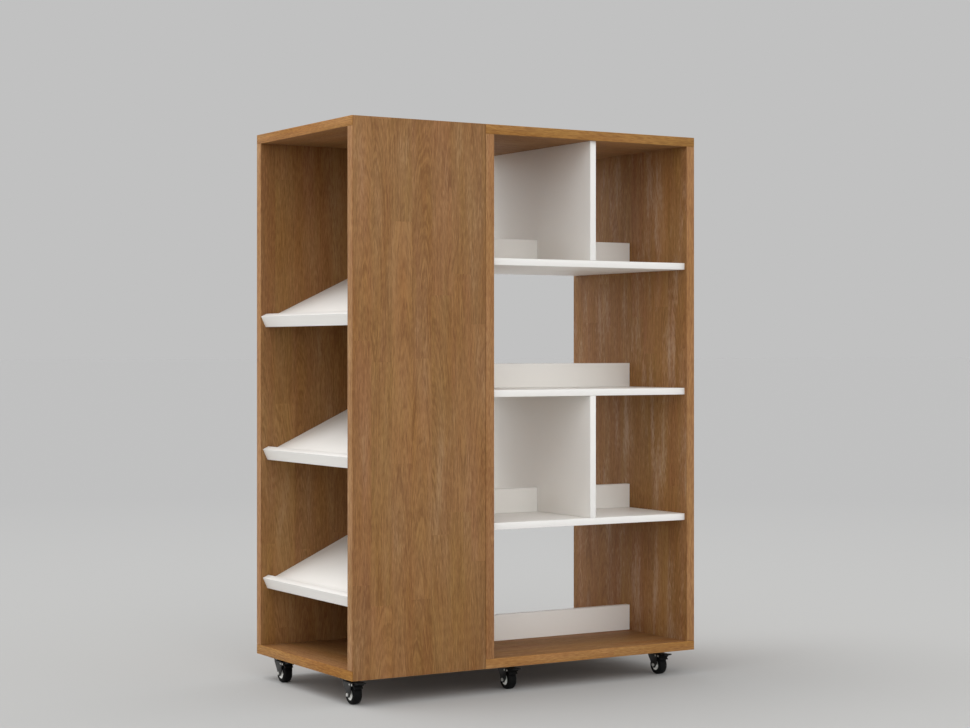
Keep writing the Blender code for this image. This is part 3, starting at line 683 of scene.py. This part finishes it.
screw_head = turned(
    [
        (0, PLATE_LOW - SCREW_HEAD_THICKNESS),
        (SCREW_FLAT_RADIUS, PLATE_LOW - SCREW_HEAD_THICKNESS),
        (SCREW_HEAD_RADIUS, PLATE_LOW - SCREW_RIM_RISE),
        (SCREW_HEAD_RADIUS, PLATE_LOW - TOUCH_GAP / 2),
        (0, PLATE_LOW - TOUCH_GAP / 2),
    ],
    segments=24,
)
ease(screw_head, SCREW_EASE)
cross = bmesh.new()
recess_top = PLATE_LOW - CROSS_FLOOR
add_block(cross, (-CROSS_ARM, -CROSS_HALF_WIDTH, 0), (CROSS_ARM, CROSS_HALF_WIDTH, recess_top))
second_arm = bmesh.new()
add_block(second_arm, (-CROSS_HALF_WIDTH, -CROSS_ARM, 0), (CROSS_HALF_WIDTH, CROSS_ARM, recess_top))
screw_head = applied(applied(screw_head, cross, "DIFFERENCE"), second_arm, "DIFFERENCE")
screws = bmesh.new()
for x in (-SCREW_SPACING / 2, SCREW_SPACING / 2):
    for y in (-SCREW_SPACING / 2, SCREW_SPACING / 2):
        stamp(screws, screw_head, (x, y, 0))
screw_head.free()
on_casters(screws, "plate_screws", ZINC, "zinc", "carcass", None)

# The casters' forks.
# Each is pressed from black-coated steel: a flat crown under the race and two tapered legs, which hold the
# axle and the brake's pin. The ends of the pin and of a spacer behind it are riveted into bright domes.
CROWN_LOW = 54 * MM
CROWN_TOP = 57 * MM
CROWN_HALF = 15.8 * MM
CROWN_CORNER = 2 * MM
CROWN_FRONT = 4 * MM
LEG_INNER = 14.5 * MM
LEG_OUTER = 16.5 * MM
LEG_END_RADIUS = 7.8 * MM
LEG_FRONT_REACH = 13 * MM
LEG_HEEL_REACH = 12 * MM
LEG_KNEE_RISE = 4 * MM
LEG_HEEL = 1 * MM
LEG_SINK = 0.5 * MM
LEG_CORNER = 3 * MM
LEG_CORNERS_BELOW = 50 * MM
LEG_END_ANGLES = (310, 230)
BRAKE_BOSS_RADIUS = 4.5 * MM
BRAKE_BOSS_ANGLES = (270, 90)
SPACER_PLACE = Vector((0, -35.4, 51.9)) * MM
RIVET_RADIUS = 2.7 * MM
RIVET_RISE = 1.5 * MM
first = next(iter(casters))
axle = joints[f"{first}_spin"] - casters[first]
pin = joints[f"{first}_brake"] - casters[first]


def hull(rounds, low, high, axis):
    """A plate between two heights along an axis, taut round some circles of (centre, radius)."""
    shape = bmesh.new()
    turn = Vector((0, 0, 1)).rotation_difference(Vector(axis)).to_matrix().to_4x4()
    for centre, radius in rounds:
        for height in (low, high):
            place = Matrix.Translation(Vector(centre) + Vector(axis) * height) @ turn
            bmesh.ops.create_circle(shape, radius=radius, segments=32, matrix=place)
    found = bmesh.ops.convex_hull(shape, input=shape.verts)
    spare = [v for v in found["geom_interior"] + found["geom_unused"] if isinstance(v, bmesh.types.BMVert)]
    bmesh.ops.delete(shape, geom=spare, context="VERTS")
    bmesh.ops.dissolve_limit(shape, angle_limit=math.radians(1), verts=shape.verts, edges=shape.edges)
    return shape


def bend(centre, radius, start, end, steps):
    """Points of an arc in a side view, from one angle to another in degrees."""
    turns = [math.radians(start + (end - start) * step / steps) for step in range(steps + 1)]
    return [centre + Vector((0, radius * math.cos(turn), radius * math.sin(turn))) for turn in turns]


def slab(outline, low, high):
    """A plate between two distances along X, cut to a side view's outline."""
    shape = bmesh.new()
    side = shape.faces.new([shape.verts.new((low, point.y, point.z)) for point in outline])
    drawn_out = bmesh.ops.extrude_face_region(shape, geom=[side])["geom"]
    far_side = [v for v in drawn_out if isinstance(v, bmesh.types.BMVert)]
    bmesh.ops.translate(shape, verts=far_side, vec=(high - low, 0, 0))
    return shape


corner_x = CROWN_HALF - CROWN_CORNER
crown_corners = [((x, axle.y - CROWN_FRONT, 0), CROWN_CORNER) for x in (-corner_x, corner_x)]
fork = hull([((0, 0, 0), CROWN_HALF), *crown_corners], CROWN_LOW, CROWN_TOP, (0, 0, 1))
ease(fork, PRESSED_EDGE)
front_edge = axle.y - LEG_FRONT_REACH
knee_height = axle.z + LEG_KNEE_RISE
leg_outline = [
    Vector((0, LEG_HEEL, CROWN_TOP - LEG_SINK)),
    Vector((0, LEG_HEEL, CROWN_LOW - LEG_SINK)),
    Vector((0, axle.y + LEG_HEEL_REACH, knee_height)),
    *bend(axle, LEG_END_RADIUS, *LEG_END_ANGLES, 8),
    Vector((0, front_edge, knee_height)),
    Vector((0, front_edge, pin.z - BRAKE_BOSS_RADIUS)),
    *bend(pin, BRAKE_BOSS_RADIUS, *BRAKE_BOSS_ANGLES, 12),
]
for low, high in ((-LEG_OUTER, -LEG_INNER), (LEG_INNER, LEG_OUTER)):
    leg = slab(leg_outline, low, high)
    middle = (low + high) / 2
    ease(
        leg,
        LEG_CORNER,
        segments=4,
        where=lambda point: abs(point.x - middle) < ON_EDGE and point.z < LEG_CORNERS_BELOW,
    )
    ease(leg, PRESSED_EDGE)
    fork = applied(fork, leg, "UNION")
hole_radius = KINGPIN_RADIUS + FIT_GAP
hole_profile = [(0, 0), (hole_radius, 0), (hole_radius, PLATE_LOW), (0, PLATE_LOW)]
kingpin_hole = turned(hole_profile, segments=32)
fork = applied(fork, kingpin_hole, "DIFFERENCE")
on_casters(fork, "fork_pressing", BLACK_STEEL, "caster_steel", "swivel_body", "fork")

rivets = bmesh.new()
for side in (-1, 1):
    for place in (pin, SPACER_PLACE):
        dome = turned(
            [
                (0, side * (LEG_OUTER + RIVET_RISE)),
                (RIVET_RADIUS * 0.6, side * (LEG_OUTER + RIVET_RISE * 0.85)),
                (RIVET_RADIUS, side * (LEG_OUTER + RIVET_RISE * 0.3)),
                (RIVET_RADIUS, side * (LEG_OUTER + TOUCH_GAP / 2)),
                (0, side * (LEG_OUTER + TOUCH_GAP / 2)),
            ],
            segments=24,
            axis=(1, 0, 0),
        )
        stamp(rivets, dome, place)
        dome.free()
on_casters(rivets, "fork_rivets", ZINC, "zinc", "swivel_body", None)

# The casters' axles.
# A zinc-plated bolt through the legs and the wheel's hub, with a hexagon head on one side and a lock nut
# on the other.
AXLE_RADIUS = 3 * MM
HEAD_CORNER_RADIUS = 5 * MM
HEAD_SEAT = 16.8 * MM
HEAD_END = 20.8 * MM
HEAD_EASE = 0.9 * MM
BOLT_INSET = 0.5 * MM
bolt_end = HEAD_END - BOLT_INSET
bolt_profile = [(0, -bolt_end), (AXLE_RADIUS, -bolt_end), (AXLE_RADIUS, bolt_end), (0, bolt_end)]
bolt = turned(bolt_profile, segments=24, axis=(1, 0, 0))
for low, high in ((-HEAD_END, -HEAD_SEAT), (HEAD_SEAT, HEAD_END)):
    hexagon = bmesh.new()
    across_x = Matrix.Translation(((low + high) / 2, 0, 0)) @ Matrix.Rotation(math.pi / 2, 4, "Y")
    bmesh.ops.create_cone(
        hexagon,
        cap_ends=True,
        segments=6,
        radius1=HEAD_CORNER_RADIUS,
        radius2=HEAD_CORNER_RADIUS,
        depth=high - low,
        matrix=across_x,
    )
    ease(hexagon, HEAD_EASE, segments=3)
    bolt = applied(bolt, hexagon, "UNION")
bmesh.ops.translate(bolt, verts=bolt.verts, vec=axle)
on_casters(bolt, "axle_bolt", ZINC, "zinc", "swivel_body", "axle")

# The casters' wheels.
# A pale grey moulded nylon core, with a raised rim and hub, turns on the axle. A black rubber tyre with
# round shoulders is moulded onto it.
WHEEL_RADIUS = 25 * MM
TREAD_HALF = 12.5 * MM
CORE_RADIUS = 14.7 * MM
HUB_RADIUS = 7.5 * MM
HUB_HALF = 14 * MM
WEB_HALF = 10 * MM
RIM_HALF = 11.2 * MM
RIM_FOOT_RADIUS = 11.4 * MM
RIM_INNER_RADIUS = 12 * MM
CORE_EASE = 0.5 * MM
BORE_RADIUS = 3.5 * MM
TYRE_LIP = 0.7 * MM
TYRE_SHOULDER = 6 * MM
SHOULDER_ZONE = 1 * MM


def moulded_finish(name, dark, light, roughness, shine, grain):
    """A moulded plastic or rubber surface, with a fine grain and slight flow marks about 15 mm across."""
    finish = new_finish(name)
    place = add(finish, "TexCoord", {}).outputs["Object"]
    flow = add(finish, "TexNoise", {"Vector": place, "Scale": 65.0, "Detail": 3.0})
    spark = add(finish, "TexNoise", {"Vector": place, "Scale": 1 / grain, "Detail": 1.0})
    colour = add(
        finish, "Mix", {"Factor": flow, "A": linear(dark), "B": linear(light)}, data_type="RGBA"
    )
    gloss = add(
        finish, "MapRange", {"Value": flow, "To Min": roughness - 0.1, "To Max": roughness + 0.1}
    )
    relief = add(finish, "Bump", {"Height": spark, "Strength": 0.3, "Distance": 0.06 * MM})
    shader = add(
        finish,
        "BsdfPrincipled",
        {"Base Color": colour, "Roughness": gloss, "Specular IOR Level": shine, "Normal": relief},
    )
    add(finish, "OutputMaterial", {"Surface": shader})
    return finish


PALE_NYLON = moulded_finish(
    "pale_grey_nylon_moulded", "#DCDCD8", "#E8E8E4", roughness=0.4, shine=0.5, grain=0.5 * MM
)
BLACK_RUBBER = moulded_finish(
    "black_rubber_moulded", "#070707", "#0E0E0E", roughness=0.6, shine=0.15, grain=0.7 * MM
)
core_half = [
    (BORE_RADIUS, HUB_HALF),
    (HUB_RADIUS, HUB_HALF),
    (HUB_RADIUS, WEB_HALF),
    (RIM_FOOT_RADIUS, WEB_HALF),
    (RIM_INNER_RADIUS, RIM_HALF),
    (CORE_RADIUS - TOUCH_GAP, RIM_HALF),
]
core_profile = core_half + [(radius, -x) for radius, x in reversed(core_half)] + core_half[:1]
core = turned(core_profile, segments=64, axis=(1, 0, 0))
ease(core, CORE_EASE, segments=3)
bmesh.ops.translate(core, verts=core.verts, vec=axle)
on_casters(core, "wheel_core", PALE_NYLON, "tread", "wheel_body", "wheel")

tyre_half = [(CORE_RADIUS, RIM_HALF), (CORE_RADIUS + TYRE_LIP, TREAD_HALF), (WHEEL_RADIUS, TREAD_HALF)]
tyre_profile = tyre_half + [(radius, -x) for radius, x in reversed(tyre_half)] + tyre_half[:1]
tyre = turned(tyre_profile, segments=64, axis=(1, 0, 0))
ease(tyre, TYRE_SHOULDER, segments=8, where=lambda point: point.yz.length > WHEEL_RADIUS - SHOULDER_ZONE)
bmesh.ops.translate(tyre, verts=tyre.verts, vec=axle)
on_casters(tyre, "wheel_tyre", BLACK_RUBBER, "tread", "wheel_body", "wheel")

# The casters' brakes.
# A black moulded lever on a pin through the legs. Treading on the ribbed pedal presses its shoe on the
# tyre, and the sharp lip below the notch lifts the shoe off again.
BRAKE_HALF = 12 * MM
BRAKE_EASE = 0.6 * MM
SHOE_RADIUS = 28 * MM
SHOE_ANGLES = (66, 34)
RELEASE_LIP_RADIUS = 33.2 * MM
RELEASE_LIP_ANGLES = (30, 48.5)
PEDAL_REACH = 44.5 * MM
PEDAL_RISE = 33.7 * MM
PEDAL_THICKNESS = 3 * MM
RIB_RISE = 0.6 * MM
RIB_WIDTH = 1.6 * MM
RIB_PITCH = 3.6 * MM
RIB_HALF_LENGTH = 10.2 * MM
RIB_EASE = 0.4 * MM
RIB_COUNT = 4
FIRST_RIB = 2.5 * MM
BLACK_NYLON = moulded_finish(
    "black_nylon_moulded", "#090909", "#131313", roughness=0.45, shine=0.3, grain=0.5 * MM
)
pedal_tip = Vector((0, axle.y - PEDAL_REACH, axle.z + PEDAL_RISE))
shoe = bend(axle, SHOE_RADIUS, 180 - SHOE_ANGLES[0], 180 - SHOE_ANGLES[1], 8)
lip = bend(axle, RELEASE_LIP_RADIUS, 180 - RELEASE_LIP_ANGLES[0], 180 - RELEASE_LIP_ANGLES[1], 1)
pedal_root = Vector((0, shoe[0].y - PEDAL_THICKNESS, pin.z + BRAKE_BOSS_RADIUS))
brake_outline = [*shoe, *lip, pedal_tip - Vector((0, 0, PEDAL_THICKNESS)), pedal_tip, pedal_root]
brake = slab(brake_outline, -BRAKE_HALF, BRAKE_HALF)
ease(brake, BRAKE_EASE)
pedal_line = (pedal_root - pedal_tip).normalized()
for number in range(RIB_COUNT):
    rib = bmesh.new()
    rib_corner = Vector((RIB_HALF_LENGTH, RIB_WIDTH / 2, RIB_RISE))
    add_block(rib, -rib_corner, rib_corner)
    ease(rib, RIB_EASE)
    on_pedal = pedal_tip + pedal_line * (FIRST_RIB + number * RIB_PITCH)
    lie = Vector((0, 1, 0)).rotation_difference(pedal_line)
    bmesh.ops.transform(rib, matrix=Matrix.LocRotScale(on_pedal, lie, None), verts=rib.verts)
    brake = applied(brake, rib, "UNION")
on_casters(brake, "brake_pedal", BLACK_NYLON, "brake", "brake_body", "brake")

# The floor and the backdrop.
# A plain matt floor that runs to the horizon, painted a shade paler round the bookcase as painted light
# that thins the bookcase's soft shade there, and a backdrop of the same pale grey that the camera and
# mirrors see in every direction.
FLOOR_SIDE = 400.0
# The near colour is painted light: paler than the floor's own grey, to lift the shade round the bookcase.
FLOOR_NEAR_PAINTED_LIGHT = "#B3B3B2"
FLOOR_FAR = "#ABABAB"
NEAR_WITHIN = 1.2
FAR_BEYOND = 7.0
BACKDROP = "#C1C1C1"
floor_finish = new_finish("matt_grey_floor")
from_middle = add(floor_finish, "TexCoord", {}).outputs["Object"]
distance = add(floor_finish, "VectorMath", {0: from_middle}, operation="LENGTH").outputs["Value"]
fade = {"Value": distance, "From Min": NEAR_WITHIN, "From Max": FAR_BEYOND}
far_share = add(floor_finish, "MapRange", fade)
floor_shades = {"Factor": far_share, "A": linear(FLOOR_NEAR_PAINTED_LIGHT), "B": linear(FLOOR_FAR)}
floor_colour = add(floor_finish, "Mix", floor_shades, data_type="RGBA")
floor_shader = add(floor_finish, "BsdfDiffuse", {"Color": floor_colour})
add(floor_finish, "OutputMaterial", {"Surface": floor_shader})
floor_shape = bmesh.new()
bmesh.ops.create_grid(floor_shape, x_segments=1, y_segments=1, size=FLOOR_SIDE / 2)
floor_mesh = bpy.data.meshes.new("studio_floor")
floor_shape.to_mesh(floor_mesh)
floor_shape.free()
floor_mesh.materials.append(floor_finish)
studio_floor = bpy.data.objects.new("studio_floor", floor_mesh)
bpy.context.scene.collection.objects.link(studio_floor)

# The studio light.
# A broad soft key high on the left and a little behind, a weaker one in front, and a fill from all round
# that is stronger near the horizon.
FILL_LOW = 1.678
FILL_HIGH = 0.451
LAMP_WIDTH = math.radians(40)
LAMPS = {"key": (1.162, -120, 70), "front": (0.41, -20, 45)}
world = bpy.data.worlds.new("studio")
bpy.context.scene.world = world
world.use_nodes = True
world.node_tree.nodes.clear()
rays = add(world, "LightPath", {}).outputs
seen = add(world, "Math", {0: rays["Is Camera Ray"], 1: rays["Is Glossy Ray"]}, operation="ADD")
shown = add(world, "Math", {0: seen, 1: rays["Is Transmission Ray"]}, operation="ADD", use_clamp=True)
up = add(world, "SeparateXYZ", {0: add(world, "TexCoord", {}).outputs["Generated"]}).outputs[2]
fill_here = add(world, "MapRange", {"Value": up, "To Min": FILL_LOW, "To Max": FILL_HIGH})
fill = add(world, "Background", {"Color": (1, 1, 1, 1), "Strength": fill_here})
backdrop = add(world, "Background", {"Color": linear(BACKDROP), "Strength": 1.0})
sky = add(world, "MixShader", {0: shown, 1: fill, 2: backdrop})
add(world, "OutputWorld", {"Surface": sky})
for name, (strength, azimuth, height) in LAMPS.items():
    lamp = bpy.data.objects.new(name, bpy.data.lights.new(name, "SUN"))
    lamp.data.energy = strength
    lamp.data.angle = LAMP_WIDTH
    turn, rise = math.radians(azimuth), math.radians(height)
    comes_from = Vector((math.sin(turn), -math.cos(turn), math.tan(rise)))
    lamp.rotation_euler = comes_from.to_track_quat("Z", "Y").to_euler()
    bpy.context.scene.collection.objects.link(lamp)

# The camera, at the photograph's place and angle.
# It stands level, 0.89 m above the floor, so the uprights stay parallel. A little lens shift sets the
# bookcase's height in the picture.
CAMERA_PLACE = (-2.8724, -4.7878, 0.8873)
CAMERA_TURN = math.radians(-31.19)
CAMERA_LENS = 75.76
CAMERA_SHIFT = -0.0133
camera = bpy.data.objects.new("camera", bpy.data.cameras.new("camera"))
camera.data.lens = CAMERA_LENS
camera.data.shift_y = CAMERA_SHIFT
camera.location = CAMERA_PLACE
camera.rotation_euler = (math.pi / 2, 0, CAMERA_TURN)
bpy.context.scene.collection.objects.link(camera)
bpy.context.scene.camera = camera
bpy.context.scene.view_settings.view_transform = "Standard"
